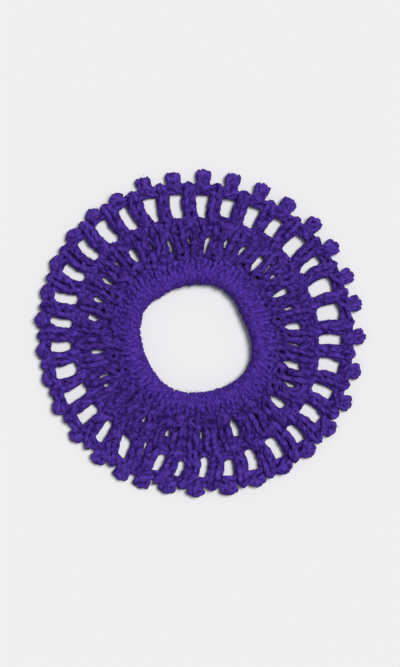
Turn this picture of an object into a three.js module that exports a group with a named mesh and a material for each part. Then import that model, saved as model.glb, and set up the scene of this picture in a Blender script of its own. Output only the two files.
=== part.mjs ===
// A crocheted hair snood: a lace ring worked in rounds on a hair elastic, lying flat on its back.
// Millimetres, +Z up. A clock angle is in degrees, clockwise from +Y as seen from above.
import * as THREE from 'three';

// Gap left between pieces that touch on the real thing
const clearance = 0.3;

// Cuff: stitches wrapped round the elastic, ending in a row of stitch heads
const holeRadius = 22.4;
const elasticThickness = 3.8;
const cuffWall = 1.5;
const headReach = 3.6;
const headThickness = 1.7;
const headSlit = 0.4;

// Inner round of posts under its chain arches
const innerPostLength = 9.4;
const innerArchWidth = 5.2;
const innerThickness = 4;

// Outer round of posts under its chain arches
const outerFootWidth = 1;
const outerPostLength = 9.7;
const outerArchWidth = 3.8;
const outerThickness = 3.7;
const postTipReach = 1.7;
const postTipWidth = 6.6;

// Picots round the rim
const picotHeight = 4.3;
const picotWidth = 6;
const picotNeckWidth = 4.8;
const picotThickness = 3.2;

// How high the lace waves off the surface it lies on
const laceLift = 0.7;
const laceClearOfTable = 0.1;

// How far the edges of the lace are rounded off, and the least share of a strip left flat there
const edgeRounding = 0.5;
const flatShare = 0.3;

// Sides of the round forms
const cuffSteps = 48;
const laceSteps = 66;
const elasticSides = 8;
const cuffSides = 12;
const picotSides = 8;

// Shares of a post's length: the blunt end of an outer slot, and the solid foot under the
// longest inner slot
const slotEndShare = 0.12;
const slotStart = 0.2;

// Places that follow from the sizes above
const cuffRadius = elasticThickness / 2 + clearance + cuffWall;
const elasticRadius = holeRadius + cuffRadius;
const headEdge = elasticRadius + cuffRadius + headReach;
const innerFoot = headEdge + clearance;
const innerArch = innerFoot + innerPostLength;
const innerEdge = innerArch + innerArchWidth;
const outerFoot = innerEdge + clearance;
const outerSlotFoot = outerFoot + outerFootWidth;
const outerSlotHead = outerSlotFoot + outerPostLength;
const outerEdge = outerSlotHead + outerArchWidth;
const picotSeat = outerEdge + clearance;
const laceHeight = Math.max(innerThickness, outerThickness) / 2 + laceClearOfTable;

// Dents that pull the round edges off the circle: how many lobes each has, the clock angle it
// swells toward, and how far, as a share of the edge's radius
const holeDents = [
  { lobes: 1, toward: 214, share: 0.075 },
  { lobes: 2, toward: 134, share: 0.034 },
  { lobes: 3, toward: 20, share: 0.015 },
  { lobes: 4, toward: 28, share: 0.038 },
];
const rimDents = [
  { lobes: 1, toward: 262, share: 0.014 },
  { lobes: 2, toward: 116, share: 0.024 },
  { lobes: 4, toward: 50, share: 0.011 },
];
const liftWaves = [
  { lobes: 3, toward: 40, share: 0.3 },
  { lobes: 5, toward: 15, share: 0.2 },
];

// One row for each slot of the outer round and the picot beyond it: the clock angles between
// which the slot is open at its head and at its foot, the picot's clock angle, how far the picot
// reaches as a share of the picot height, and where the slot starts as a share of the post length
const motifs = [
  { headFrom: -0.8, headTo: 4.3, footFrom: 0, footTo: 3.9, picot: 2, reach: 1.5, start: 0 },
  { headFrom: 10, headTo: 15.4, footFrom: 10.6, footTo: 15, picot: 12.7, reach: 1.55, start: 0.2 },
  { headFrom: 21.3, headTo: 26.2, footFrom: 22, footTo: 26.9, picot: 23.8, reach: 1.5, start: 0.1 },
  { headFrom: 33, headTo: 37, footFrom: 32.4, footTo: 37.5, picot: 34.7, reach: 1.4, start: 0.2 },
  { headFrom: 44.2, headTo: 48.8, footFrom: 43.9, footTo: 50.4, picot: 46.2, reach: 1.5, start: 0.05 },
  { headFrom: 55.7, headTo: 59.1, footFrom: 57.1, footTo: 59.7, picot: 56.8, reach: 1.35, start: 0.1 },
  { headFrom: 65.5, headTo: 71.4, footFrom: 66, footTo: 71.8, picot: 68.3, reach: 1.3, start: 0 },
  { headFrom: 76.6, headTo: 83.2, footFrom: 77.6, footTo: 83.6, picot: 78.6, reach: 1.25, start: 0 },
  { headFrom: 89.4, headTo: 93.4, footFrom: 90.2, footTo: 94.3, picot: 90.5, reach: 1.25, start: 0.05 },
  { headFrom: 100.3, headTo: 104.9, footFrom: 100.2, footTo: 106.3, picot: 103, reach: 1.1, start: 0.1 },
  { headFrom: 111.6, headTo: 115.8, footFrom: 112.2, footTo: 116.2, picot: 114.7, reach: 1.05, start: 0.1 },
  { headFrom: 122.7, headTo: 126.3, footFrom: 121.8, footTo: 127.6, picot: 125.4, reach: 0.9, start: 0.1 },
  { headFrom: 133.5, headTo: 137, footFrom: 133.5, footTo: 136.9, picot: 136.3, reach: 0.7, start: 0.15 },
  { headFrom: 143.8, headTo: 147.2, footFrom: 143.5, footTo: 148.1, picot: 147, reach: 0.6, start: 0.05 },
  { headFrom: 154.9, headTo: 158.8, footFrom: 154.3, footTo: 158.3, picot: 157.8, reach: 0.7, start: 0.1 },
  { headFrom: 164.9, headTo: 169.5, footFrom: 164.5, footTo: 167.9, picot: 168.6, reach: 0.9, start: 0.3 },
  { headFrom: 176.6, headTo: 179.4, footFrom: 175, footTo: 178.6, picot: 180.8, reach: 0.95, start: 0.1 },
  { headFrom: 186.7, headTo: 189.4, footFrom: 185.9, footTo: 188.3, picot: 191.5, reach: 0.95, start: 0.3 },
  { headFrom: 196, headTo: 199, footFrom: 194.7, footTo: 198, picot: 201, reach: 1.1, start: 0.2 },
  { headFrom: 210.5, headTo: 214, footFrom: 213, footTo: 217.6, picot: 209, reach: 1.1, start: 0.1 },
  { headFrom: 221.8, headTo: 224.9, footFrom: 224.1, footTo: 227.2, picot: 219, reach: 1, start: 0 },
  { headFrom: 232.2, headTo: 236.4, footFrom: 232.8, footTo: 237.1, picot: 230.5, reach: 0.85, start: 0.05 },
  { headFrom: 241.7, headTo: 246, footFrom: 243.1, footTo: 248, picot: 242.5, reach: 0.7, start: 0 },
  { headFrom: 252.4, headTo: 257, footFrom: 253.1, footTo: 258.1, picot: 253.8, reach: 0.55, start: 0.1 },
  { headFrom: 263.4, headTo: 267.4, footFrom: 263.8, footTo: 267.5, picot: 264.3, reach: 0.55, start: 0.15 },
  { headFrom: 274.2, headTo: 277.1, footFrom: 273.5, footTo: 277.3, picot: 275.6, reach: 0.65, start: 0.1 },
  { headFrom: 283.9, headTo: 286.9, footFrom: 284.2, footTo: 288.7, picot: 286, reach: 0.55, start: 0 },
  { headFrom: 294.6, headTo: 298.5, footFrom: 295, footTo: 298.8, picot: 297, reach: 0.6, start: 0.05 },
  { headFrom: 306.3, headTo: 310.1, footFrom: 305.8, footTo: 309.5, picot: 308.6, reach: 0.65, start: 0 },
  { headFrom: 316.4, headTo: 321.1, footFrom: 316.1, footTo: 321, picot: 318.8, reach: 0.7, start: 0 },
  { headFrom: 327.3, headTo: 330.5, footFrom: 327, footTo: 331.6, picot: 329.3, reach: 0.75, start: 0 },
  { headFrom: 337.2, headTo: 342.9, footFrom: 338.6, footTo: 341.6, picot: 340.3, reach: 1.2, start: 0 },
  { headFrom: 348.2, headTo: 353, footFrom: 347.9, footTo: 353.1, picot: 351, reach: 1.2, start: 0 },
];

// One row for each slot of the inner round: its clock angle at half length, how far its head
// leans clockwise of its foot, how wide it is open, and where it starts and ends as shares of
// the inner post length. Where a slot is open 0 degrees, two posts stand pressed together.
const innerSlots = [
  { at: 5.5, lean: 2, open: 2.8, from: slotStart, to: 0.95 },
  { at: 17, lean: 0, open: 1.6, from: 0.5, to: 1.05 },
  { at: 27.4, lean: 1.5, open: 1.8, from: 0.5, to: 1.05 },
  { at: 39.3, lean: 0, open: 3.2, from: slotStart, to: 1.05 },
  { at: 52, lean: 0, open: 1.7, from: 0.6, to: 0.95 },
  { at: 63, lean: 0, open: 3.4, from: 0.25, to: 0.9 },
  { at: 73.5, lean: 0, open: 1.5, from: 0.5, to: 0.95 },
  { at: 84.6, lean: 0, open: 4.2, from: 0.35, to: 1.05 },
  { at: 95.3, lean: 0, open: 1.3, from: 0.45, to: 0.95 },
  { at: 107.3, lean: 0, open: 3.8, from: 0.35, to: 1.1 },
  { at: 118, lean: -1.6, open: 1.6, from: 0.5, to: 1.25 },
  { at: 129.5, lean: -1, open: 4, from: 0.5, to: 1.3 },
  { at: 139.6, lean: 0, open: 1.5, from: 0.95, to: 1.25 },
  { at: 149.5, lean: 0, open: 0, from: 0.5, to: 1 },
  { at: 158.3, lean: 0, open: 3.6, from: 0.3, to: 1.2 },
  { at: 168.6, lean: 0, open: 1.4, from: 0.85, to: 1.1 },
  { at: 177.8, lean: 0, open: 1.3, from: 0.5, to: 1.05 },
  { at: 187, lean: 0, open: 0, from: 0.5, to: 1 },
  { at: 197, lean: 0, open: 2, from: 0.65, to: 1.1 },
  { at: 212.5, lean: 0, open: 1.3, from: 0.5, to: 0.9 },
  { at: 227, lean: 0, open: 0, from: 0.5, to: 1 },
  { at: 241.5, lean: 0, open: 1.4, from: 0.75, to: 1.05 },
  { at: 251.5, lean: 0, open: 0, from: 0.5, to: 1 },
  { at: 261, lean: 0, open: 1.5, from: 0.45, to: 1.1 },
  { at: 270, lean: 0, open: 0, from: 0.5, to: 1 },
  { at: 279.5, lean: 0, open: 2.8, from: 0.65, to: 1.2 },
  { at: 289.8, lean: 0, open: 2.2, from: 0.6, to: 1.15 },
  { at: 301, lean: 0, open: 2, from: 0.55, to: 1.15 },
  { at: 311.8, lean: 0, open: 2, from: 0.8, to: 1.15 },
  { at: 321.5, lean: 0, open: 3.4, from: 0.45, to: 1.15 },
  { at: 332.3, lean: 0, open: 1.6, from: 0.6, to: 0.95 },
  { at: 343, lean: 0, open: 2.2, from: slotStart, to: 0.85 },
  { at: 354.8, lean: 0, open: 1.4, from: 0.5, to: 0.9 },
];

// Half an inner slot from its foot to its head: how wide it is, as a share of its opening
const innerSlotSide = [
  { along: 0, across: 0.3 },
  { along: 0.3, across: 0.8 },
  { along: 0.75, across: 1 },
  { along: 1, across: 0.5 },
];

// A post tip along the rim, as shares of its half width and of its reach
const postTip = [
  { across: -1, out: 0 },
  { across: -0.6, out: 0.8 },
  { across: 0, out: 1 },
  { across: 0.6, out: 0.8 },
  { across: 1, out: 0 },
];

// A picot above its neck, as shares of its height and of its width
const picotSide = [
  { along: 0.6, across: 1 },
  { along: 0.95, across: 0.6 },
];

const yarn = new THREE.MeshStandardMaterial({ color: 0x4f3d8f, roughness: 0.95, metalness: 0 });
const rubber = new THREE.MeshStandardMaterial({ color: 0x2a2440, roughness: 0.7, metalness: 0 });

// Sum of a table's lobes at a clock angle
function lobeSum(rows, clock) {
  const lobe = (row) => row.share * Math.cos(THREE.MathUtils.degToRad(row.lobes * (clock - row.toward)));
  return rows.reduce((sum, row) => sum + lobe(row), 0);
}

// Where the lace comes to lie: the radius takes on the dents of the hole and of the rim, and the
// fabric slopes from the middle of the cuff down to the surface and waves a little beyond
function laidPoint(radius, clock, height) {
  const outward = shareAlong(radius, holeRadius, outerSlotHead);
  const holeShift = holeRadius * lobeSum(holeDents, clock);
  const rimShift = outerSlotHead * lobeSum(rimDents, clock);
  const shift = THREE.MathUtils.lerp(holeShift, rimShift, outward);
  const slope = (laceHeight - cuffRadius) * shareAlong(radius, headEdge, innerEdge);
  const wave = laceLift * (0.5 + lobeSum(liftWaves, clock)) * shareAlong(radius, innerEdge, outerEdge);
  return polarPoint(radius + shift, clock, height + slope + wave);
}

// Share of the way from one radius to another, held between 0 and 1
function shareAlong(radius, first, last) {
  return THREE.MathUtils.clamp((radius - first) / (last - first), 0, 1);
}

function polarPoint(radius, clock, height) {
  const turn = THREE.MathUtils.degToRad(clock);
  return new THREE.Vector3(radius * Math.sin(turn), radius * Math.cos(turn), height);
}

// Moves every corner of a round, modelled on the circle at the height of the cuff, to where it lies
function layDown(geometry) {
  const corners = geometry.attributes.position;
  for (let i = 0; i < corners.count; i += 1) {
    const radius = Math.hypot(corners.getX(i), corners.getY(i));
    const clock = THREE.MathUtils.radToDeg(Math.atan2(corners.getX(i), corners.getY(i)));
    const point = laidPoint(radius, clock, corners.getZ(i));
    corners.setXYZ(i, point.x, point.y, point.z);
  }
  geometry.computeVertexNormals();
  return geometry;
}

// A ring from its section, a closed list of [radius, height] corners
function ring(section, steps) {
  const corners = [...section, section[0]].map(([radius, height]) => new THREE.Vector2(radius, height));
  return new THREE.LatheGeometry(corners, steps).rotateX(Math.PI / 2);
}

// Corners of a regular section round the elastic's centre line, from the first to the last of its
// sides, with its flats at the given distance and one of them at the bottom
function arcCorners(distance, sides, first, last) {
  const reach = distance / Math.cos(Math.PI / sides);
  const corners = [];
  for (let i = first; i <= last; i += 1) {
    const angle = ((i + 0.5) * 2 * Math.PI) / sides;
    corners.push([elasticRadius + reach * Math.cos(angle), cuffRadius + reach * Math.sin(angle)]);
  }
  return corners;
}

function namedMesh(name, geometry, material) {
  const mesh = new THREE.Mesh(geometry, material);
  mesh.name = name;
  return mesh;
}

function hairElastic() {
  const half = elasticThickness / 2;
  return layDown(ring(arcCorners(half, elasticSides, 0, elasticSides - 1), cuffSteps));
}

// The wrapped band is open along its outer side, between the front and back of the stitch heads
function baseRound() {
  const wrap = arcCorners(cuffRadius, cuffSides, 1, cuffSides - 2);
  const cavity = arcCorners(elasticThickness / 2 + clearance, elasticSides, 0, elasticSides - 1).reverse();
  const mouth = cavity[0][0];
  const lip = headSlit / 2 + headThickness;
  const section = [
    ...wrap,
    [headEdge - headThickness / 2, cuffRadius - lip],
    [headEdge, cuffRadius - headSlit / 2],
    [mouth, cuffRadius - headSlit / 2],
    ...cavity,
    [mouth, cuffRadius + headSlit / 2],
    [headEdge, cuffRadius + headSlit / 2],
    [headEdge - headThickness / 2, cuffRadius + lip],
  ];
  return layDown(ring(section, cuffSteps));
}

// Corner of an outline seen from above
function corner(radius, clock) {
  const point = polarPoint(radius, clock, 0);
  return new THREE.Vector2(point.x, point.y);
}

function circle(radius) {
  return Array.from({ length: laceSteps }, (unused, i) => corner(radius, (360 * i) / laceSteps));
}

// A flat round of lace at the height of the cuff, with its slots cut through and its edges
// rounded off, less where a strip of the given width leaves no room
function lace(outline, innerRadius, slots, thickness, narrowest) {
  const shape = new THREE.Shape([...outline].reverse());
  shape.holes = [circle(innerRadius), ...slots].map((points) => new THREE.Path(points));
  const rounding = Math.min(edgeRounding, (Math.min(narrowest, thickness) * (1 - flatShare)) / 2);
  const depth = thickness - 2 * rounding;
  const geometry = new THREE.ExtrudeGeometry(shape, {
    depth,
    bevelThickness: rounding,
    bevelSize: rounding,
    bevelOffset: -rounding,
    bevelSegments: 1,
  });
  geometry.translate(0, 0, cuffRadius - depth / 2);
  return layDown(geometry);
}

function innerSlotOutline(slot) {
  const side = (way) => innerSlotSide.map(({ along, across }) => corner(
    innerFoot + innerPostLength * THREE.MathUtils.lerp(slot.from, slot.to, along),
    slot.at + slot.lean * (along - 0.5) + (way * across * slot.open) / 2,
  ));
  return [...side(1), ...side(-1).reverse()];
}

// Outline of a slot of the outer round, with blunt round ends
function outerSlotOutline(motif) {
  const blunt = outerPostLength * slotEndShare;
  const foot = outerSlotFoot + outerPostLength * motif.start;
  return [
    corner(foot, (motif.footFrom + motif.footTo) / 2),
    corner(foot + blunt, motif.footTo),
    corner(outerSlotHead - blunt, motif.headTo),
    corner(outerSlotHead, (motif.headFrom + motif.headTo) / 2),
    corner(outerSlotHead - blunt, motif.headFrom),
    corner(foot + blunt, motif.footFrom),
  ];
}

// The rim, where the tip of a post stands out between each two picots, as wide as they leave room
function rimOutline() {
  return motifs.flatMap((motif, i) => {
    const next = i + 1 < motifs.length ? motifs[i + 1].picot : motifs[0].picot + 360;
    const middle = (motif.picot + next) / 2;
    const apart = outerEdge * THREE.MathUtils.degToRad(next - motif.picot);
    const width = Math.min(postTipWidth, apart - picotNeckWidth - 2 * clearance);
    const halfTip = THREE.MathUtils.radToDeg(width / 2 / outerEdge);
    const point = ({ across, out }) => corner(outerEdge + postTipReach * out, middle + across * halfTip);
    return postTip.map(point);
  });
}

function innerRound() {
  const slots = innerSlots.filter((slot) => slot.open > 0).map(innerSlotOutline);
  return lace(circle(innerEdge), innerFoot, slots, innerThickness, innerPostLength * slotStart);
}

function outerRound() {
  return lace(rimOutline(), outerFoot, motifs.map(outerSlotOutline), outerThickness, outerFootWidth);
}

// A picot stands on its neck, flares past its middle and closes in a blunt tip
function picot(motif, index) {
  const height = picotHeight * motif.reach;
  const profile = [
    new THREE.Vector2(0, 0),
    new THREE.Vector2(picotNeckWidth / 2, 0),
    ...picotSide.map(({ along, across }) => new THREE.Vector2((across * picotWidth) / 2, along * height)),
    new THREE.Vector2(0, height),
  ];
  const knob = new THREE.LatheGeometry(profile, picotSides);
  knob.scale(1, 1, picotThickness / picotWidth);
  const mesh = namedMesh(`picot_${String(index + 1).padStart(2, '0')}`, knob, yarn);
  mesh.position.copy(laidPoint(picotSeat, motif.picot, cuffRadius));
  mesh.rotation.z = -THREE.MathUtils.degToRad(motif.picot);
  return mesh;
}

const snood = new THREE.Group();
snood.add(
  namedMesh('hair_elastic', hairElastic(), rubber),
  namedMesh('base_round', baseRound(), yarn),
  namedMesh('inner_round', innerRound(), yarn),
  namedMesh('outer_round', outerRound(), yarn),
  ...motifs.map(picot),
);

// The origin is under the middle of the whole, on the surface it lies on
snood.updateMatrixWorld(true);
const extent = new THREE.Box3().setFromObject(snood, true);
const middle = extent.getCenter(new THREE.Vector3());
snood.position.set(-middle.x, -middle.y, -extent.min.z);

export default snood;
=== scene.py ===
"""Looks of a crocheted hair snood: its stitches in plied yarn, lying flat on a pale floor.

Lengths are in millimetres until a mesh is made, and a clock angle is in degrees, clockwise from +Y
as seen from above.
"""
import math
from collections import namedtuple

import bpy
import numpy as np
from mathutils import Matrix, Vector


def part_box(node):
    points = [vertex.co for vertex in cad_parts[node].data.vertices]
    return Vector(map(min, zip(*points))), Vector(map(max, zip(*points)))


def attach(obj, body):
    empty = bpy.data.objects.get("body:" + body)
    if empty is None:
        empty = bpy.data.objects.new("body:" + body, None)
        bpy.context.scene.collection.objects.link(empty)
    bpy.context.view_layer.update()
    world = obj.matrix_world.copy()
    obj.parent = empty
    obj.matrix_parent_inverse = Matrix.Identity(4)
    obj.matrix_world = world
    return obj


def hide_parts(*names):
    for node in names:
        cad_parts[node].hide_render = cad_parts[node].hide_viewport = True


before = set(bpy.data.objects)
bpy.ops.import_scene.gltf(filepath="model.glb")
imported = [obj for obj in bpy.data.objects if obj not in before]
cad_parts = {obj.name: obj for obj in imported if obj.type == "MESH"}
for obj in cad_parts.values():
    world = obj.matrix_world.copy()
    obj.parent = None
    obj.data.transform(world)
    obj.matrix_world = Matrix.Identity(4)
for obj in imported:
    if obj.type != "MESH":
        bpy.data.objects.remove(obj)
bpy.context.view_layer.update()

MM = 0.001
PHOTO_HEIGHT = 667

# Sizes of the construction
CLEARANCE = 0.3
HOLE_RADIUS = 22.4
ELASTIC_THICKNESS = 3.8
CUFF_WALL = 1.5
HEAD_REACH = 3.6
INNER_POST_LENGTH = 9.4
INNER_ARCH_WIDTH = 5.2
INNER_THICKNESS = 4
OUTER_FOOT_WIDTH = 1
OUTER_POST_LENGTH = 9.7
OUTER_ARCH_WIDTH = 3.8
OUTER_THICKNESS = 3.7
POST_TIP_REACH = 1.7
POST_TIP_WIDTH = 6.6
PICOT_HEIGHT = 4.3
PICOT_WIDTH = 6
PICOT_NECK_WIDTH = 4.8
LACE_LIFT = 0.7
LACE_CLEAR_OF_TABLE = 0.1
SLOT_START = 0.2

CUFF_RADIUS = ELASTIC_THICKNESS / 2 + CLEARANCE + CUFF_WALL
ELASTIC_RADIUS = HOLE_RADIUS + CUFF_RADIUS
HEAD_EDGE = ELASTIC_RADIUS + CUFF_RADIUS + HEAD_REACH
INNER_FOOT = HEAD_EDGE + CLEARANCE
INNER_ARCH = INNER_FOOT + INNER_POST_LENGTH
INNER_EDGE = INNER_ARCH + INNER_ARCH_WIDTH
OUTER_FOOT = INNER_EDGE + CLEARANCE
OUTER_SLOT_FOOT = OUTER_FOOT + OUTER_FOOT_WIDTH
OUTER_SLOT_HEAD = OUTER_SLOT_FOOT + OUTER_POST_LENGTH
OUTER_EDGE = OUTER_SLOT_HEAD + OUTER_ARCH_WIDTH
PICOT_SEAT = OUTER_EDGE + CLEARANCE
LACE_HEIGHT = max(INNER_THICKNESS, OUTER_THICKNESS) / 2 + LACE_CLEAR_OF_TABLE

# Yarn: its plies, how deep the furrows between them are as a share of its radius, how far it runs
# in one turn, and the swells along it
YARN_RADIUS = 1.1
PLIES = 3
GROOVE = 0.86
TWIST_PITCH = 9
Swell = namedtuple("Swell", "share turn_per_mm")
SWELLS = [Swell(0.08, 0.9), Swell(0.09, 2.1)]
END_TAPER = 0.5
# The wraps of the cuff and the picots are drawn tighter. The loop on the front of a post lies free
# of the others, and is plumper.
WRAP_RADIUS = 0.84
PICOT_YARN_RADIUS = 0.95
FRONT_RADIUS = 1.27
# How far the points of a strand lie out of true: most strands, front loops, wraps of a post
LOOSE = 0.1
FRONT_LOOSE = 0.19
WRAP_LOOSE = 0.17
# Mesh of the yarn: corners round each ply, how much yarn one unit of its UV map spans, and how far
# apart its rings are in most strands, behind the posts, in stitch heads and under those
CORNERS_PER_PLY = 4
UV_LENGTH = 10
RING_STEP = 0.85
BACK_STEP = 1.2
HEAD_STEP = 0.8
UNDER_HEAD_STEP = 1
# Stray fibres: their thickness, how many stand off each millimetre of yarn, the least and greatest
# length and height, how far they sway, and their arc as shares of its height
FIBRE_RADIUS = 0.05
FIBRES_PER_MM = 0.12
CUFF_FIBRES_PER_MM = 0.3
FIBRE_LENGTHS = (1, 2.8)
FIBRE_HEIGHTS = (0.2, 0.75)
FIBRE_SWAY = 0.8
FIBRE_ARC = np.array([-0.15, 0.7, 1, 0.9, 0.5])

# Feet of the posts: how far they are tucked under the cuff, and how far outside the heads of the
# inner slots those of the outer round begin
INNER_TUCK = 2
OUTER_TUCK = 1.5
# Tips of the inner posts, past the edge of their round
INNER_TIP_REACH = 2.1
INNER_TIP_WIDTH = 5.8
# A post wider than this many degrees is double, with its tips this far apart
DOUBLE_INNER_POST = 14
DOUBLE_OUTER_POST = 9
DOUBLE_TIP_SPACING = 3.6
# Half of the gap between the halves of a double post, in degrees, and for an outer one at its foot
# and at its head. Where it is below nought they lap.
INNER_SPLIT = -0.5
OUTER_SPLIT = np.array([0.5, -0.3])
# How far a post is bowed clockwise: all inner posts, and the outer ones by clock angle. Both ends of
# a bow lean back by a share of it.
BOW_BACK = 0.55
INNER_POST_BEND = -0.3
Bend = namedtuple("Bend", "clock shift")
OUTER_POST_BENDS = [
    Bend(0, -0.35), Bend(50, -0.4), Bend(60, -0.75), Bend(125, -0.8), Bend(190, -0.65), Bend(200, -0.2),
    Bend(235, -0.2), Bend(247, -0.95), Bend(310, -0.95), Bend(350, -0.5), Bend(360, -0.35),
]
# The rim's yarn stands proud of the solids by this much on one side
RIM_PROUD = 0.8
RIM_PROUD_TOWARD = 110
# The wraps stand into the hole by this much at one clock angle, and over a spread to both sides
HOLE_PROUD = 1.1
HOLE_PROUD_AT = 318
HOLE_PROUD_SPREAD = 12

# Dents of the hole and of the rim, and the waves of the lace
Lobe = namedtuple("Lobe", "lobes toward share")
HOLE_DENTS = [Lobe(1, 214, 0.075), Lobe(2, 134, 0.034), Lobe(3, 20, 0.015), Lobe(4, 28, 0.038)]
RIM_DENTS = [Lobe(1, 262, 0.014), Lobe(2, 116, 0.024), Lobe(4, 50, 0.011)]
LIFT_WAVES = [Lobe(3, 40, 0.3), Lobe(5, 15, 0.2)]

# One row for each slot of the outer round and the picot beyond it: clock angles of the slot's sides
# at its head and at its foot and of the picot, how long the picot is as a share of its named height,
# and how far up the posts the slot starts as a share of their length
Motif = namedtuple("Motif", "head_from head_to foot_from foot_to picot reach start")
MOTIFS = [
    Motif(-0.8, 4.3, 0, 3.9, 2, 1.5, 0),
    Motif(10, 15.4, 10.6, 15, 12.7, 1.55, 0.2),
    Motif(21.3, 26.2, 22, 26.9, 23.8, 1.5, 0.1),
    Motif(33, 37, 32.4, 37.5, 34.7, 1.4, 0.2),
    Motif(44.2, 48.8, 43.9, 50.4, 46.2, 1.5, 0.1),
    Motif(55.7, 59.1, 57.1, 59.7, 56.8, 1.35, 0.1),
    Motif(65.5, 71.4, 66, 71.8, 68.3, 1.3, 0.06),
    Motif(76.6, 83.2, 77.6, 83.6, 78.6, 1.25, 0.1),
    Motif(89.4, 93.4, 90.2, 94.3, 90.5, 1.25, 0.05),
    Motif(100.3, 104.9, 100.2, 106.3, 103, 1.1, 0.1),
    Motif(111.6, 115.8, 112.2, 116.2, 114.7, 1.05, 0.1),
    Motif(122.7, 126.3, 121.8, 127.6, 125.4, 0.9, 0.1),
    Motif(133.5, 137, 133.5, 136.9, 136.3, 0.7, 0.15),
    Motif(143.8, 147.2, 143.5, 148.1, 147, 0.6, 0.05),
    Motif(154.9, 158.8, 154.3, 158.3, 157.8, 0.7, 0.1),
    Motif(164.9, 169.5, 164.5, 167.9, 168.6, 0.9, 0.3),
    Motif(176.6, 179.4, 175, 178.6, 180.8, 0.95, 0.1),
    Motif(186.7, 189.4, 185.9, 188.3, 191.5, 0.95, 0.3),
    Motif(196, 199, 194.7, 198, 201, 1.1, 0.2),
    Motif(210.5, 214, 213, 217.6, 209, 1.1, 0.1),
    Motif(221.8, 224.9, 224.1, 227.2, 219, 1, 0),
    Motif(232.2, 236.4, 232.8, 237.1, 230.5, 0.85, 0.05),
    Motif(241.7, 246, 243.1, 248, 242.5, 0.7, 0),
    Motif(252.4, 257, 253.1, 258.1, 253.8, 0.55, 0.1),
    Motif(263.4, 267.4, 263.8, 267.5, 264.3, 0.55, 0.15),
    Motif(274.2, 277.1, 273.5, 277.3, 275.6, 0.65, 0.1),
    Motif(283.9, 286.9, 284.2, 288.7, 286, 0.55, 0),
    Motif(294.6, 298.5, 295, 298.8, 297, 0.6, 0.05),
    Motif(306.3, 310.1, 305.8, 309.5, 308.6, 0.65, 0),
    Motif(316.4, 321.1, 316.1, 321, 318.8, 0.7, 0),
    Motif(327.3, 330.5, 327, 331.6, 329.3, 0.75, 0),
    Motif(337.2, 342.9, 338.6, 341.6, 340.3, 1.2, 0),
    Motif(348.2, 353, 347.9, 353.1, 351, 1.2, 0),
]

# One row for each slot of the inner round: clock angle at half length, how far its head leans
# clockwise, how wide it is open, and where it starts and ends as shares of the post length
InnerSlot = namedtuple("InnerSlot", "at lean open start end")
INNER_SLOTS = [
    InnerSlot(5.5, 2, 2.8, SLOT_START, 0.95),
    InnerSlot(17, 0, 1.6, 0.5, 1.05),
    InnerSlot(27.4, 1.5, 1.8, 0.5, 1.05),
    InnerSlot(39.3, 0, 3.2, 0.28, 1.05),
    InnerSlot(52, 0, 1.7, 0.6, 0.95),
    InnerSlot(63, 0, 3.4, 0.35, 1),
    InnerSlot(73.5, 0, 1.5, 0.5, 0.95),
    InnerSlot(84.6, 0, 4.2, 0.44, 1.15),
    InnerSlot(95.3, 0, 1.3, 0.45, 0.95),
    InnerSlot(107.3, 0, 3.8, 0.35, 1.1),
    InnerSlot(118, -1.6, 1.6, 0.5, 1.25),
    InnerSlot(129.5, -1, 4, 0.42, 1.33),
    InnerSlot(139.6, 0, 1.5, 0.95, 1.25),
    InnerSlot(149.5, 0, 0, 0.5, 1),
    InnerSlot(158.3, 0, 3.6, 0.3, 1.2),
    InnerSlot(168.6, 0, 1.4, 0.85, 1.1),
    InnerSlot(177.8, 0, 1.3, 0.5, 1.05),
    InnerSlot(187, 0, 0, 0.5, 1),
    InnerSlot(197, 0, 2, 0.65, 1.1),
    InnerSlot(212.5, 0, 1.3, 0.5, 0.9),
    InnerSlot(227, 0, 0, 0.5, 1),
    InnerSlot(241.5, 0, 1.4, 0.75, 1.05),
    InnerSlot(251.5, 0, 0, 0.5, 1),
    InnerSlot(261, 0, 1.5, 0.45, 1.1),
    InnerSlot(270, 0, 0, 0.5, 1),
    InnerSlot(279.5, 0, 2.8, 0.65, 1.2),
    InnerSlot(289.8, 0, 2.2, 0.6, 1.15),
    InnerSlot(301, 0, 2, 0.55, 1.15),
    InnerSlot(311.8, 0, 2, 0.8, 1.15),
    InnerSlot(321.5, 0, 3.4, 0.45, 1.15),
    InnerSlot(332.3, 0, 1.6, 0.6, 0.95),
    InnerSlot(343, 0, 2.2, SLOT_START, 0.85),
    InnerSlot(354.8, 0, 1.4, 0.5, 0.9),
]
# Outline of an inner slot: shares of its length, shares of its width there, and how many degrees
# its sides are pressed together past its ends
SLOT_ALONG = [-0.15, 0.05, 0.3, 0.75, 1, 1.2]
SLOT_ACROSS = [0, 0.65, 1, 1, 0.8, 0]
SLOT_PRESS = [1.2, 0, 0, 0, 0, 1.2]

# Strands of a post, one row a point. across is a share of the room between its sides. along is -1
# where the foot is tucked under the round below, 0 and 1 at the foot and head of its slots, and 2
# at its tip. up is the height off the middle of the lace.
Point = namedtuple("Point", "across along up")
POST_FRONT = [
    Point(-0.3, -1, -0.9), Point(-0.45, -0.45, 0.1), Point(-0.6, 0.1, 0.85), Point(-0.66, 0.42, 1.05),
    Point(-0.5, 0.75, 1.15), Point(-0.5, 1.3, 1.3), Point(-0.42, 1.78, 1.1), Point(0, 2, 0.8),
    Point(0.42, 1.78, 1.1), Point(0.5, 1.3, 1.3), Point(0.52, 0.8, 1.1), Point(0.66, 0.45, 0.9),
    Point(0.5, 0.1, 0.6), Point(0.35, -0.5, -0.1), Point(0.25, -1, -0.9),
]
POST_BACK = [
    Point(-0.3, -0.9, -1), Point(-0.5, 0, -1), Point(-0.5, 1.2, -1), Point(-0.3, 1.75, -0.9),
    Point(0, 1.88, -0.7), Point(0.3, 1.75, -0.9), Point(0.5, 1.2, -1), Point(0.5, 0, -1),
    Point(0.3, -0.9, -1),
]
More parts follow.
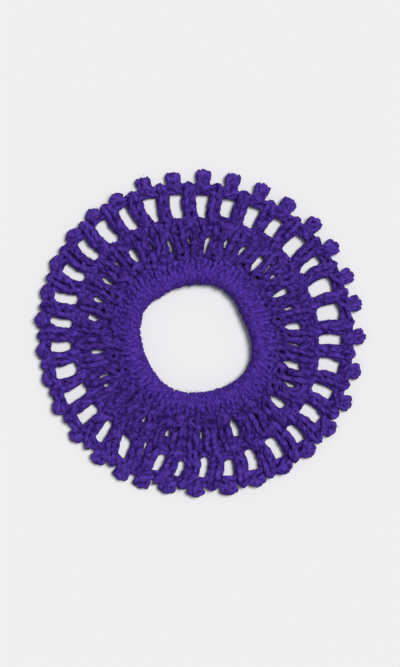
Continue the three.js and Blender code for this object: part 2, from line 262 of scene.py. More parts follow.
POST_SIDE = [
    Point(0.7, -0.8, -0.4), Point(0.95, -0.05, -0.2), Point(1, 0.15, 0), Point(1, 0.3, 0.05),
    Point(1, 0.45, 0.05), Point(1, 0.6, 0.1), Point(1, 0.8, 0.1), Point(1, 1, 0.05), Point(1.1, 1.15, 0),
    Point(1.6, 1.35, -0.1), Point(2.1, 1.42, -0.3),
]
POST_WRAP = [
    Point(-0.95, 0.16, 0.1), Point(-0.6, 0.24, 1.25), Point(0.1, 0.36, 1.75), Point(0.75, 0.5, 1.25),
    Point(1, 0.6, 0.1), Point(0.6, 0.56, -1), Point(-0.5, 0.3, -1), Point(-0.95, 0.16, 0.1),
]
POST_FOOT_WRAP = [
    Point(0.95, -0.35, -0.1), Point(0.5, -0.22, 1.1), Point(-0.3, -0.02, 1.35), Point(-0.95, 0.1, 0.5),
    Point(-0.9, 0.12, -0.6), Point(0, -0.1, -1), Point(0.8, -0.3, -0.8),
]

# Strands of a picot. across is a share of its half width, along a share of its length.
PICOT_LOOP = [
    Point(1.3, -0.3, -0.3), Point(1.1, 0, 0.4), Point(0.95, 0.3, 0.75), Point(0.95, 0.65, 0.8),
    Point(1.1, 0.92, 0.4), Point(0.95, 1, -0.1), Point(0.8, 0.75, -0.85), Point(0.7, 0.2, -0.9),
    Point(0.6, -0.2, -0.5),
]
PICOT_FRONT = [
    Point(0.3, -0.2, 0.1), Point(-0.4, 0.12, 1), Point(-0.3, 0.4, 1.2), Point(0.35, 0.7, 1.1),
    Point(0.25, 1, 0.6), Point(0.1, 0.85, -0.9), Point(0, 0.1, -0.9),
]
PICOT_TOP = [
    Point(-1, 0.4, 0), Point(-1.1, 0.84, 0.4), Point(-0.45, 0.88, 0.9), Point(0.35, 0.9, 0.8),
    Point(1.1, 0.86, 0.35), Point(1, 0.4, 0),
]
PICOT_NECK = [
    Point(-1.4, -0.1, 0.3), Point(-0.8, 0.12, 0.9), Point(0, 0.2, 1.1), Point(0.8, 0.12, 0.9),
    Point(1.4, -0.1, 0.3),
]

# The picots' yarn starts this far inside the rim, and its points lie this far out of true
PICOT_ROOT = 0.8
PICOT_LOOSE = 0.09
# How far the corners of a picot are drawn in, as a share of its length: in full up to the first
# reach, and not at all from the second on. Those on one side are fans, whose anticlockwise corner
# is drawn out, as a share of half their width.
PICOT_DOME = 0.3
PICOT_DOMED = (0.8, 1.2)
PICOT_FLARE = 0.3
PICOT_FAN_TOWARD = 90
# Those at the bottom are broader, by up to this share
PICOT_BROAD = 0.3
PICOT_BROAD_TOWARD = 178

# Wraps of the cuff: how many, by how many degrees their outer side lies clockwise of their middle,
# and one of them seen from the side. out and up are distances from the elastic's centre line, as
# shares of the cuff's radius less the yarn's.
WRAPS = 156
WRAP_LEAN = 0.8
Turn = namedtuple("Turn", "out up")
CUFF_WRAP = [
    Turn(1.2, -0.6), Turn(0.6, -0.95), Turn(-0.3, -0.95), Turn(-0.85, -0.55), Turn(-1, 0), Turn(-0.8, 0.6),
    Turn(-0.3, 0.95), Turn(0.3, 1), Turn(0.85, 0.8), Turn(1.2, 0.35),
]

# Rows of stitch heads outside the cuff: how many, how far out from the elastic's centre line they
# begin and end, and how high off the middle of the lace
HeadRow = namedtuple("HeadRow", "count begin end high low")
HEAD_ROWS = [HeadRow(90, 0.7, 5.3, 2.95, 1.5), HeadRow(80, 3.9, 7.5, 1.8, 0.6)]
# A stitch head is arched by these heights. Its strand has a radius between two, and it leans to one
# side or the other of a lean that all share, in degrees.
HEAD_ARCH = [-0.8, 0, 0.2, 0.1, -0.7]
HEAD_RADII = (0.9, 1.15)
HEAD_LEAN = 0.5
HEAD_LEAN_SPREAD = 0.7
# Strands that run round under the stitch heads, by how far they lie inside the heads' edge
HeadRing = namedtuple("HeadRing", "inside up")
HEAD_RINGS = [HeadRing(4.2, 1), HeadRing(2.7, 0.5), HeadRing(1.7, 0.25), HeadRing(WRAP_RADIUS, -0.1)]

# Strands that run round the inner arch, by how far they lie outside the heads of the posts' slots,
# and where their waves start, in radians
ArchRing = namedtuple("ArchRing", "out up start")
INNER_ARCH_RINGS = [
    ArchRing(1.1, -0.2, 0), ArchRing(3.1, 0, 2.1), ArchRing(4.9, -0.3, 4.2), ArchRing(1.9, -1.1, 1),
    ArchRing(3.7, -1.1, 5),
]
# How far the strands of the two arches swing in and out, and how far those of both rise and fall
INNER_ARCH_SWING = 0.2
OUTER_ARCH_SWING = 0.25
ARCH_WAVE = 0.35
# Those of the inner arch keep this far from the head of a slot, and step aside for it over this many
# degrees
ARCH_CLEAR = 0.4
ARCH_ASIDE = 2.2

# Violets of the pieces, dark and light, and how many blotches lie along a metre. All pieces are one yarn:
# the inner and outer rounds' darker violets are painted shade, and the cuff's and picots' paler ones are
# painted light.
DyeAndShade = namedtuple("DyeAndShade", "name dark light blotches")
CUFF_LIT_TONE = DyeAndShade("cuff_yarn", (0.028, 0.008, 0.14), (0.102, 0.043, 0.41), 800)
INNER_SHADED_TONE = DyeAndShade("inner_yarn", (0.015, 0.003, 0.08), (0.09, 0.038, 0.345), 480)
OUTER_SHADED_TONE = DyeAndShade("outer_yarn", (0.016, 0.003, 0.085), (0.1, 0.043, 0.39), 480)
PICOT_LIT_TONE = DyeAndShade("picot_yarn", (0.022, 0.005, 0.11), (0.108, 0.049, 0.41), 480)

rng = np.random.default_rng(3)


def lobe_sum(rows, clock):
    """The sum of the rows' waves round the ring at a clock angle."""
    return sum(r.share * np.cos(np.radians(r.lobes * (clock - r.toward))) for r in rows)


def share_along(value, first, last):
    """How far a value lies from first to last, from 0 to 1."""
    return np.clip((value - first) / (last - first), 0, 1)


def degrees_past(clock, mark):
    """How far a clock angle lies clockwise of a mark, the short way round."""
    return (clock - mark + 180) % 360 - 180


def lay(radius, clock, up):
    """Points of the laid lace, up off its middle: the same dents, slope and waves as the solids."""
    radius, clock, up = np.broadcast_arrays(np.atleast_1d(radius), clock, up)
    outward = share_along(radius, HOLE_RADIUS, OUTER_SLOT_HEAD)
    hole_shift = HOLE_RADIUS * lobe_sum(HOLE_DENTS, clock)
    rim_shift = OUTER_SLOT_HEAD * lobe_sum(RIM_DENTS, clock)
    slope = (LACE_HEIGHT - CUFF_RADIUS) * share_along(radius, HEAD_EDGE, INNER_EDGE)
    wave = LACE_LIFT * (0.5 + lobe_sum(LIFT_WAVES, clock)) * share_along(radius, INNER_EDGE, OUTER_EDGE)
    turn = np.radians(clock)
    proud = RIM_PROUD * (0.5 + 0.5 * np.cos(turn - math.radians(RIM_PROUD_TOWARD)))
    proud = proud * share_along(radius, OUTER_SLOT_HEAD, OUTER_EDGE)
    away = degrees_past(clock, HOLE_PROUD_AT) / HOLE_PROUD_SPREAD
    inset = HOLE_PROUD * np.exp(-away ** 2) * (1 - share_along(radius, HOLE_RADIUS, ELASTIC_RADIUS))
    reach = radius + hole_shift + (rim_shift - hole_shift) * outward + proud - inset
    height = CUFF_RADIUS + up + slope + wave
    return np.stack([reach * np.sin(turn), reach * np.cos(turn), height], axis=1)


def ring_centre():
    """Where the rings' common centre lies in the frame, from the elastic's box."""
    outline = lay(ELASTIC_RADIUS + ELASTIC_THICKNESS / 2, np.arange(360.0), 0)
    middle = (outline.min(axis=0) + outline.max(axis=0)) / 2
    low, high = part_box("hair_elastic")
    return np.array([(low[i] + high[i]) / 2 / MM - middle[i] for i in (0, 1)] + [0])


CENTRE = ring_centre()


def smooth_path(points, step, closed=False):
    """A Catmull-Rom curve through the points, cut into even steps."""
    points = np.asarray(points, float)
    if closed:
        padded = np.vstack([points[-1], points, points[0], points[1]])
    else:
        padded = np.vstack([2 * points[0] - points[1], points, 2 * points[-1] - points[-2]])
    t = np.linspace(0, 1, 8, endpoint=False)[:, None]
    spans = []
    for a, b, c, d in zip(padded, padded[1:], padded[2:], padded[3:]):
        bend = 2 * a - 5 * b + 4 * c - d
        spans.append(b + 0.5 * ((c - a) * t + bend * t ** 2 + (3 * b - a - 3 * c + d) * t ** 3))
    fine = np.vstack(spans + [padded[-2][None]])
    reached = np.concatenate([[0], np.cumsum(np.linalg.norm(np.diff(fine, axis=0), axis=1))])
    even = np.linspace(0, reached[-1], max(5, round(reached[-1] / step) + 1))
    return np.stack([np.interp(even, reached, fine[:, i]) for i in range(3)], axis=1), even


def sideways(ahead):
    """Directions square to the strand that turn as little as they can along it."""
    held = np.cross(ahead[0], (0, 0, 1) if abs(ahead[0][2]) < 0.9 else (1, 0, 0))
    side = np.empty_like(ahead)
    for i, heading in enumerate(ahead):
        held = held - heading * np.dot(held, heading)
        held /= np.linalg.norm(held)
        side[i] = held
    return side


class Yarn:
    """Strands of plied yarn, gathered into one mesh."""

    def __init__(self, fibres=FIBRES_PER_MM):
        self.vertices = []
        self.faces = []
        self.uvs = []
        self.count = 0
        self.length = 0
        self.fibres = fibres

    def strand(self, points, radius=YARN_RADIUS, closed=False, step=RING_STEP):
        """A plied strand along the points, with the stray fibres on it."""
        path, reached = smooth_path(points, step, closed)
        if closed:
            path, reached = path[:-1], reached[:-1]
        thickest = radius * (1 + sum(wave.share for wave in SWELLS))
        path[:, 2] = np.maximum(path[:, 2], thickest)
        corners = np.arange(PLIES * CORNERS_PER_PLY)
        section = np.where(corners % CORNERS_PER_PLY == 0, GROOVE, 1)
        swell = np.ones(len(path))
        for wave in SWELLS:
            swell += wave.share * np.sin(reached * wave.turn_per_mm + rng.uniform(0, 6))
        if not closed:
            swell[[0, -1]] = END_TAPER
        reach = radius * swell[:, None] * section
        ring, ahead = self.tube(path, reached, reach, 2 * math.pi / TWIST_PITCH, closed)
        self.length += reached[-1]
        for _ in range(rng.poisson(self.fibres * reached[-1])):
            place = rng.integers(len(path))
            root = ring[place, rng.integers(len(corners))]
            self.stray_fibre(root, root - path[place], ahead[place])

    def tube(self, path, reached, reach, twist, closed=False):
        """A tube round the path, reach from it at each corner, turned by twist radians a millimetre."""
        ahead = np.roll(path, -1, axis=0) - np.roll(path, 1, axis=0)
        if not closed:
            ahead[0], ahead[-1] = path[1] - path[0], path[-1] - path[-2]
        ahead /= np.linalg.norm(ahead, axis=1)[:, None]
        side = sideways(ahead)
        over = np.cross(ahead, side)
        corners = np.arange(reach.shape[1])
        around = corners * 2 * math.pi / len(corners)
        angle = around + (reached * twist + rng.uniform(0, 2 * math.pi))[:, None]
        outward = np.cos(angle)[..., None] * side[:, None] + np.sin(angle)[..., None] * over[:, None]
        ring = path[:, None] + reach[..., None] * outward
        self.vertices.append(ring.reshape(-1, 3))
        self.skin(len(path), corners, reached, closed)
        return ring, ahead

    def stray_fibre(self, root, outward, ahead):
        """A thin fibre that stands off the yarn in a low arc, unless it would be underneath."""
        outward = outward / np.linalg.norm(outward)
        if outward[2] < -0.3:
            return
        along = ahead * rng.choice((-1, 1)) * rng.uniform(*FIBRE_LENGTHS)
        sway = np.cross(ahead, outward) * rng.normal(0, FIBRE_SWAY)
        rise = FIBRE_ARC[:, None] * rng.uniform(*FIBRE_HEIGHTS)
        share = np.linspace(0, 1, len(FIBRE_ARC))[:, None]
        path = root + share * along + share ** 2 * sway + rise * outward
        path[:, 2] = np.maximum(path[:, 2], FIBRE_RADIUS)
        self.tube(path, share[:, 0] * 2, np.full((len(FIBRE_ARC), 4), FIBRE_RADIUS), 0)

    def skin(self, rings, corners, reached, closed):
        """Quads between the rings of corners, and across the ends of an open strand."""
        size = len(corners)
        total = rings * size
        after = (corners + 1) % size
        start = np.arange(rings if closed else rings - 1)[:, None] * size
        beyond = (start + size) % total
        sides = np.stack([start + corners, start + after, beyond + after, beyond + corners], axis=2)
        self.faces.append(sides.reshape(-1, 4) + self.count)
        along = np.append(reached, 2 * reached[-1] - reached[-2]) / UV_LENGTH
        low = np.repeat(along[:len(start)], size)
        high = np.repeat(along[1:len(start) + 1], size)
        left = np.tile(corners, len(start)) / size
        right = left + 1 / size
        self.uvs.append(np.stack([low, left, low, right, high, right, high, left], axis=1))
        if not closed:
            fan = np.array([(0, k + 2, k + 1, k) for k in range(1, size - 2, 2)])
            self.faces.append(fan + self.count)
            self.faces.append(fan[:, ::-1] + self.count + total - size)
            self.uvs.append(np.zeros((2 * len(fan), 8)))
        self.count += total

    def piece(self, name, nodes, material):
        """One object on the root body, standing for the named nodes."""
        vertices = (np.vstack(self.vertices) + CENTRE) * MM
        faces = np.vstack(self.faces)
        mesh = bpy.data.meshes.new(name)
        mesh.vertices.add(len(vertices))
        mesh.vertices.foreach_set("co", vertices.astype(np.float32).ravel())
        mesh.loops.add(faces.size)
        mesh.loops.foreach_set("vertex_index", faces.astype(np.int32).ravel())
        mesh.polygons.add(len(faces))
        mesh.polygons.foreach_set("loop_start", np.arange(0, faces.size, 4, dtype=np.int32))
        mesh.polygons.foreach_set("use_smooth", np.ones(len(faces), bool))
        mesh.update(calc_edges=True)
        layer = mesh.uv_layers.new(name="yarn")
        layer.uv.foreach_set("vector", np.vstack(self.uvs).astype(np.float32).ravel())
        mesh.materials.append(material)
        obj = bpy.data.objects.new(name, mesh)
        bpy.context.scene.collection.objects.link(obj)
        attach(obj, "root")
        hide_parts(*nodes)
        print(name, "triangles", len(faces) * 2, "yarn mm", round(self.length))


# The sides of a post at a list of radii, the radii of its four levels from tucked foot to tip, and
# how far it is bowed clockwise
Post = namedtuple("Post", "radii lefts rights levels bend")


def on_post(post, row, flip, loose):
    """A strand point of a post, a little out of true."""
    radius = np.interp(row.along, [-1, 0, 1, 2], post.levels)
    left = np.interp(radius, post.radii, post.lefts)
    right = np.interp(radius, post.radii, post.rights)
    half = math.radians(right - left) / 2 * radius - YARN_RADIUS
    off = rng.normal(0, loose, 3)
    beside_slot = min(max(row.along, 0), 1)
    fade = 1 - abs(row.along - beside_slot)
    across = flip * row.across * half + post.bend * fade * (math.sin(math.pi * beside_slot) - BOW_BACK)
    clock = (left + right) / 2 + math.degrees((across + off[0]) / radius)
    return lay(radius + off[1], clock, row.up + off[2])[0]


def post_strand(yarn, post, rows, flip=1, loose=LOOSE, radius=YARN_RADIUS, step=RING_STEP):
    """One strand of a post through the points of its rows, mirrored where flip is -1."""
    yarn.strand([on_post(post, row, flip, loose) for row in rows], radius, step=step)


def stitch_post(yarn, post):
    """One tall stitch: a loop in front and one behind, two flanks, and the wraps that cross it."""
    way = 1 if rng.random() < 0.8 else -1
    post_strand(yarn, post, POST_BACK, step=BACK_STEP)
    post_strand(yarn, post, POST_SIDE, -1)
    post_strand(yarn, post, POST_SIDE, 1)
    post_strand(yarn, post, POST_FRONT, way, FRONT_LOOSE, FRONT_RADIUS)
    post_strand(yarn, post, POST_WRAP, way, WRAP_LOOSE)
    if post.levels[0] < INNER_FOOT or rng.random() < 0.5:
        post_strand(yarn, post, POST_FOOT_WRAP, way, WRAP_LOOSE)


def arch_strand(yarn, radii, clock, swing, up, start, count):
    """A strand that runs all the way round, swinging in and out and up and down."""
    phase = np.radians(clock * count) + start
    off = rng.normal(0, LOOSE, (2, len(clock)))
    reach = radii + swing * np.sin(phase) + off[0]
    yarn.strand(lay(reach, clock, up + ARCH_WAVE * np.cos(phase) + off[1]), closed=True)


def clear_of_slots(radius, clock):
    """Radii of a strand of the inner arch, pushed outward where a slot reaches up into the arch."""
    radii = np.full(len(clock), float(radius))
    for slot in INNER_SLOTS:
        head = INNER_FOOT + INNER_POST_LENGTH * slot.end + YARN_RADIUS + ARCH_CLEAR
        away = np.abs(degrees_past(clock, slot.at + slot.lean / 2))
        if slot.open > 0:
            radii = np.maximum(radii, radius + (head - radius) * np.clip(2 - away / ARCH_ASIDE, 0, 1))
    return radii


def slot_edge(slot, radius, side):
    """Clock angle of one side of an inner slot, whose sides are pressed together past its ends."""
    along = ((radius - INNER_FOOT) / INNER_POST_LENGTH - slot.start) / (slot.end - slot.start)
    across = np.interp(along, SLOT_ALONG, SLOT_ACROSS) * slot.open
    press = np.interp(along, SLOT_ALONG, SLOT_PRESS) if slot.open else SLOT_PRESS[0]
    return slot.at + slot.lean * (min(max(along, 0), 1) - 0.5) + side * (across - press) / 2


def halves(left, right, split, double):
    """The sides of a post or, if it is double, of its halves, split off to both sides of its middle."""
    if not double:
        return [(left, right)]
    middle = (left + right) / 2
    return [(left, middle - split), (middle + split, right)]


def inner_posts():
    """The posts of the inner round, each between two slots."""
    tuck = INNER_FOOT - INNER_TUCK
    tip = INNER_EDGE + INNER_TIP_REACH - YARN_RADIUS
    radii = np.linspace(INNER_FOOT, INNER_ARCH + 2, 12)
    tip_half = math.degrees(INNER_TIP_WIDTH / 2 / INNER_EDGE)
    for i, slot in enumerate(INNER_SLOTS):
        after = INNER_SLOTS[(i + 1) % len(INNER_SLOTS)]
        if after.at < slot.at:
            after = after._replace(at=after.at + 360)
        lefts = np.array([slot_edge(slot, r, 1) for r in radii])
        rights = np.array([slot_edge(after, r, -1) for r in radii])
        for left, right in halves(lefts, rights, INNER_SPLIT, after.at - slot.at > DOUBLE_INNER_POST):
            middle = (left[-1] + right[-1]) / 2
            yield Post(
                [tuck, *radii, tip],
                [left[0], *left, middle - tip_half],
                [right[0], *right, middle + tip_half],
                [tuck, INNER_FOOT, INNER_ARCH, tip],
                INNER_POST_BEND,
            )


def outer_posts():
    """The posts of the outer round, each between two slots and, at its tip, two picots."""
    tuck = INNER_ARCH + OUTER_TUCK
    tip = OUTER_EDGE + POST_TIP_REACH - YARN_RADIUS
    for motif, after in zip(MOTIFS, MOTIFS[1:] + MOTIFS[:1]):
        turn = 360 if after is MOTIFS[0] else 0
        left = np.array([motif.foot_to, motif.head_to])
        right = np.array([after.foot_from, after.head_from]) + turn
        apart = OUTER_EDGE * math.radians(after.picot + turn - motif.picot)
        width = min(POST_TIP_WIDTH, apart - PICOT_NECK_WIDTH - 2 * CLEARANCE)
        tip_half = math.degrees(width / 2 / OUTER_EDGE)
        bend = np.interp(left[0] % 360, *zip(*OUTER_POST_BENDS)) + rng.normal(0, 0.06)
        levels = [tuck, OUTER_SLOT_FOOT, OUTER_SLOT_HEAD, tip]
        parts = halves(left, right, OUTER_SPLIT, right[1] - left[1] > DOUBLE_OUTER_POST)
        for i, (a, b) in enumerate(parts):
            aside = (i - (len(parts) - 1) / 2) * DOUBLE_TIP_SPACING
            top = (motif.picot + after.picot + turn) / 2 + aside
            lefts = [a[0], a[0], a[1], top - tip_half]
            rights = [b[0], b[0], b[1], top + tip_half]
            yield Post(levels, lefts, rights, levels, bend)


def stitch_head(yarn, row, clock, lean):
    """A short fat strand that rises from under the row inside it and dips under the next."""
    points = len(HEAD_ARCH)
    radii = ELASTIC_RADIUS + np.linspace(row.begin, row.end, points) + rng.normal(0, 0.3)
    height = np.linspace(row.high, row.low, points) + HEAD_ARCH + rng.normal(0, LOOSE, points)
    path = lay(radii, clock + lean * np.linspace(-1, 1, points), height)
    yarn.strand(path, rng.uniform(*HEAD_RADII), step=HEAD_STEP)


def base_yarn():
    """Stitches wrapped close round the elastic, and two rows of stitch heads outside them."""
    yarn = Yarn(CUFF_FIBRES_PER_MM)
    # Each wrap strays a little along the cuff, in its lean and in how far it stands off the elastic
    for i in range(WRAPS):
        clock = 360 * i / WRAPS + np.clip(rng.normal(0, 0.25), -0.35, 0.35)
        lean = WRAP_LEAN + np.clip(rng.normal(0, 0.7), -0.9, 0.9)
        bulge = CUFF_RADIUS - WRAP_RADIUS + rng.normal(0.05, 0.1)
        rows = []
        for turn in CUFF_WRAP:
            off = rng.normal(0, 0.05, 2)
            radius = ELASTIC_RADIUS + bulge * turn.out + off[0]
            rows.append((radius, clock + lean * turn.out, bulge * turn.up + off[1]))
        yarn.strand(lay(*np.transpose(rows)), WRAP_RADIUS)
    clock = np.arange(0, 360, 3.0)
    for ring in HEAD_RINGS:
        path = lay(HEAD_EDGE - ring.inside, clock, rng.normal(ring.up, LOOSE, len(clock)))
        yarn.strand(path, closed=True, step=UNDER_HEAD_STEP)
    for row in HEAD_ROWS:
        for i in range(row.count):
            clock = 360 * (i + rng.normal(0, 0.12)) / row.count
            side = 1 if i % 2 else -1
            lean = HEAD_LEAN + side * rng.uniform(0, HEAD_LEAN_SPREAD)
            stitch_head(yarn, row, clock, lean)
    return yarn


def inner_yarn():
    """The inner round: its chain arches, and its posts."""
    yarn = Yarn()
    clock = np.arange(0, 360, 2.0)
    for ring in INNER_ARCH_RINGS:
        radii = clear_of_slots(INNER_ARCH + ring.out, clock)
        arch_strand(yarn, radii, clock, INNER_ARCH_SWING, ring.up, ring.start, len(INNER_SLOTS))
    for post in inner_posts():
        stitch_post(yarn, post)
    return yarn


def slot_foot(yarn, motif):
    """The strand that turns under the foot of an outer slot, and the filling below it."""
    foot = OUTER_SLOT_FOOT + OUTER_POST_LENGTH * motif.start + 0.3
    middle = (motif.foot_from + motif.foot_to) / 2
    half = (motif.foot_to - motif.foot_from) / 2
    low = foot - YARN_RADIUS
    # Radius, and degrees from the slot's middle
    rows = [
        (foot + 0.8, half + 1.3), (low + 0.3, half), (low, 0), (low + 0.3, -half),
        (foot + 0.8, -half - 1.3),
    ]
    yarn.strand([lay(r, middle + c, 0.1 + rng.normal(0, LOOSE))[0] for r, c in rows])
    filling = low - 1.6
    if filling > OUTER_FOOT - YARN_RADIUS:
        yarn.strand([lay(filling, middle + c, 0.3)[0] for c in (-half - 1.5, -half, 0, half, half + 1.5)])


def outer_yarn():
    """The outer round: its chain arches, each with a strand across it, the slots' feet and the posts."""
    yarn = Yarn()
    clock = np.arange(0, 360, 2.0)
    inside = OUTER_SLOT_HEAD + YARN_RADIUS - 0.2
    outside = OUTER_EDGE - YARN_RADIUS + 0.3
    middle = (inside + outside) / 2
    for radius, up, start in ((inside, 0.1, 0), (outside + 0.3, 0.2, 3), (middle, -1.1, 1)):
        radii = np.full(len(clock), radius)
        arch_strand(yarn, radii, clock, OUTER_ARCH_SWING, up, start, len(MOTIFS))
    # Degrees from the picot, radius, and height
    across = [
        (-2.6, inside, 0.2), (-1.2, inside + 0.5, 1.1), (0.6, outside - 0.3, 1.4),
        (2.4, outside + 0.2, 0.4),
    ]
    for motif in MOTIFS:
        slot_foot(yarn, motif)
        way = 1 if rng.random() < 0.7 else -1
        yarn.strand([lay(r, motif.picot + way * c, up)[0] for c, r, up in across])
    for post in outer_posts():
        stitch_post(yarn, post)
    return yarn


def picot_yarn(motif):
    """A knob of loops on the arch over a slot."""
    yarn = Yarn()
    root = OUTER_EDGE - PICOT_ROOT
    length = PICOT_SEAT + PICOT_HEIGHT * motif.reach - root - PICOT_YARN_RADIUS
    broad = max(0, math.cos(math.radians(motif.picot - PICOT_BROAD_TOWARD))) ** 4
    half = (PICOT_WIDTH / 2 - PICOT_YARN_RADIUS) * (1 + PICOT_BROAD * broad)
    way = 1 if rng.random() < 0.5 else -1
    fan = max(0, math.cos(math.radians(motif.picot - PICOT_FAN_TOWARD)))
    dome = PICOT_DOME * max(1 - share_along(motif.reach, *PICOT_DOMED), 0.5 * fan)
    strands = [
        (PICOT_LOOP, -1), (PICOT_LOOP, 1), (PICOT_FRONT, -way),
        (PICOT_TOP, 1), (PICOT_NECK, 1), (PICOT_FRONT, way),
    ]
    for rows, flip in strands:
        points = []
        for row in rows:
            off = rng.normal(0, PICOT_LOOSE, 3)
            across = flip * row.across
            if across < -1 and row.along > 0.8:
                across -= PICOT_FLARE * fan
            reach = root + row.along * length * (1 - dome * min(across ** 2, 1.2)) + off[0]
            clock = motif.picot + math.degrees((across * half + off[1]) / reach)
            points.append(lay(reach, clock, row.up + off[2])[0])
        yarn.strand(points, PICOT_YARN_RADIUS)
    return yarn


def principled(name):
    """A new material, with its nodes, its links and its shader."""
    material = bpy.data.materials.new(name)
    material.use_nodes = True
    tree = material.node_tree
    return material, tree.nodes, tree.links, tree.nodes["Principled BSDF"]


def noise(nodes, scale, detail, roughness=0.5):
    """A noise texture."""
    texture = nodes.new("ShaderNodeTexNoise")
    texture.inputs["Scale"].default_value = scale
    texture.inputs["Detail"].default_value = detail
    texture.inputs["Roughness"].default_value = roughness
    return texture


def maths(nodes, links, operation, *values):
    """A Math node with each value linked if it is a socket and set if it is a number."""
    node = nodes.new("ShaderNodeMath")
    node.operation = operation
    for socket, value in zip(node.inputs, values):
        if isinstance(value, (int, float)):
            socket.default_value = value
        else:
            links.new(value, socket)
    return node.outputs["Value"]


def yarn_material(dye_and_shade):
    """Matt violet acrylic: blotched dye and fine fibres, with a painted highlight on the plies' crowns and
    painted shade in the furrows between them. The violets, set by piece, are lit and shaded copies of one
    yarn's.
    """
    material, nodes, links, shader = principled(dye_and_shade.name)
    shader.inputs["Roughness"].default_value = 0.9
    shader.inputs["Specular IOR Level"].default_value = 0.1
    shader.inputs["Sheen Weight"].default_value = 0.07
    shader.inputs["Sheen Roughness"].default_value = 0.45
    shader.inputs["Sheen Tint"].default_value = (0.35, 0.18, 0.9, 1)
    place = nodes.new("ShaderNodeTexCoord")
    blotches = noise(nodes, dye_and_shade.blotches, 2)
    links.new(place.outputs["Object"], blotches.inputs["Vector"])
    uv = nodes.new("ShaderNodeUVMap")
    uv.uv_map = "yarn"
    split = nodes.new("ShaderNodeSeparateXYZ")
    links.new(uv.outputs["UV"], split.inputs["Vector"])
    # Painted highlight on the crown of each ply and painted shade in the furrows between plies, round the
    # strand
    turn = maths(nodes, links, "MULTIPLY", split.outputs["Y"], PLIES)
    painted_ply_shading = maths(nodes, links, "PINGPONG", turn, 0.5)
    stretch = nodes.new("ShaderNodeMapping")
    stretch.inputs["Scale"].default_value = (4, 14, 1)
    links.new(uv.outputs["UV"], stretch.inputs["Vector"])
    fibres = noise(nodes, 1, 4, 0.6)
    links.new(stretch.outputs["Vector"], fibres.inputs["Vector"])
    # Blotched dye and fibres, with the plies' painted highlight and shade added in
    tone_and_ply_shading = maths(nodes, links, "MULTIPLY", blotches.outputs["Fac"], 0.6)
    tone_and_ply_shading = maths(nodes, links, "MULTIPLY_ADD", fibres.outputs["Fac"], 0.4, tone_and_ply_shading)
    tone_and_ply_shading = maths(nodes, links, "MULTIPLY_ADD", painted_ply_shading, 0.12, tone_and_ply_shading)
    ramp = nodes.new("ShaderNodeValToRGB")
    ramp.color_ramp.elements[0].position = 0.4
    ramp.color_ramp.elements[0].color = (*dye_and_shade.dark, 1)
    ramp.color_ramp.elements[1].position = 0.66
    ramp.color_ramp.elements[1].color = (*dye_and_shade.light, 1)
    links.new(tone_and_ply_shading, ramp.inputs["Fac"])
    links.new(ramp.outputs["Color"], shader.inputs["Base Color"])
    bump = nodes.new("ShaderNodeBump")
    bump.inputs["Strength"].default_value = 0.5
    bump.inputs["Distance"].default_value = 0.0003
    links.new(fibres.outputs["Fac"], bump.inputs["Height"])
    links.new(bump.outputs["Normal"], shader.inputs["Normal"])
    return material


def elastic_material():
    """Dark woven cover of the hair elastic."""
    material, nodes, links, shader = principled("elastic_cover")
    shader.inputs["Roughness"].default_value = 0.7
    weave = noise(nodes, 900, 2)
    ramp = nodes.new("ShaderNodeValToRGB")
    ramp.color_ramp.elements[0].color = (0.012, 0.008, 0.03, 1)
    ramp.color_ramp.elements[1].color = (0.04, 0.03, 0.09, 1)
    links.new(weave.outputs["Fac"], ramp.inputs["Fac"])
    links.new(ramp.outputs["Color"], shader.inputs["Base Color"])
    bump = nodes.new("ShaderNodeBump")
    bump.inputs["Distance"].default_value = 0.0002
    links.new(weave.outputs["Fac"], bump.inputs["Height"])
    links.new(bump.outputs["Normal"], shader.inputs["Normal"])
    return material


def floor():
    """The plain pale surface that the snood lies on, wide enough to fill every view."""
    bpy.ops.mesh.primitive_plane_add(size=30, location=(0, 0, 0))
    plane = bpy.context.object
    plane.name = "floor"
    material, _, _, shader = principled("pale_floor")
    shader.inputs["Base Color"].default_value = (0.81, 0.8, 0.805, 1)
    shader.inputs["Roughness"].default_value = 0.9
    shader.inputs["Specular IOR Level"].default_value = 0.1
    plane.data.materials.append(material)


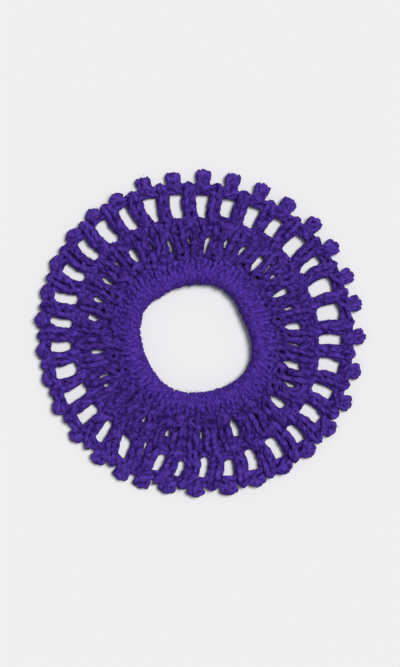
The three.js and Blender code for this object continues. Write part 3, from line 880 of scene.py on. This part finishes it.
def lights():
    """A soft lamp high on the right, and an even pale surround."""
    surround_strength = 0.24
    lamp_strength = 2.85
    lamp_spread = 24
    scene = bpy.context.scene
    scene.view_settings.view_transform = "Standard"
    world = bpy.data.worlds.new("studio")
    world.use_nodes = True
    background = world.node_tree.nodes["Background"]
    background.inputs["Color"].default_value = (1, 1, 1, 1)
    background.inputs["Strength"].default_value = surround_strength
    scene.world = world
    light = bpy.data.lights.new("key", "SUN")
    light.energy = lamp_strength
    light.angle = math.radians(lamp_spread)
    lamp = bpy.data.objects.new("key", light)
    lamp.location = (1, 0.6, 2.9)
    lamp.rotation_euler = lamp.location.to_track_quat("Z", "Y").to_euler()
    scene.collection.objects.link(lamp)


def camera():
    """Straight above, with a long lens, framing the snood as the photograph does.

    The middle of the picture lies a few of the photograph's pixels right of and above the rings'.
    """
    photo_mm = 0.41
    centre_right = 2
    centre_up = 2
    focal = 100
    sensor = 36
    middle_height = CUFF_RADIUS * MM
    tall = PHOTO_HEIGHT * photo_mm * MM
    data = bpy.data.cameras.new("camera")
    data.lens = focal
    data.sensor_width = sensor
    data.clip_start = 0.01
    eye = bpy.data.objects.new("camera", data)
    eye.location = (
        (CENTRE[0] + centre_right * photo_mm) * MM,
        (CENTRE[1] + centre_up * photo_mm) * MM,
        tall * focal / sensor + middle_height,
    )
    bpy.context.scene.collection.objects.link(eye)
    bpy.context.scene.camera = eye


camera()
floor()
lights()
# The cuff and picots take the paler violets and the two rounds the darker ones: painted light and shade on
# one yarn
base_yarn().piece("base_round_yarn", ["base_round"], yarn_material(CUFF_LIT_TONE))
inner_yarn().piece("inner_round_yarn", ["inner_round"], yarn_material(INNER_SHADED_TONE))
outer_yarn().piece("outer_round_yarn", ["outer_round"], yarn_material(OUTER_SHADED_TONE))
picot_lit_violet = yarn_material(PICOT_LIT_TONE)
for number, motif in enumerate(MOTIFS, 1):
    picot_yarn(motif).piece(f"picot_{number:02d}_yarn", [f"picot_{number:02d}"], picot_lit_violet)
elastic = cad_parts["hair_elastic"]
elastic.data.materials.clear()
elastic.data.materials.append(elastic_material())
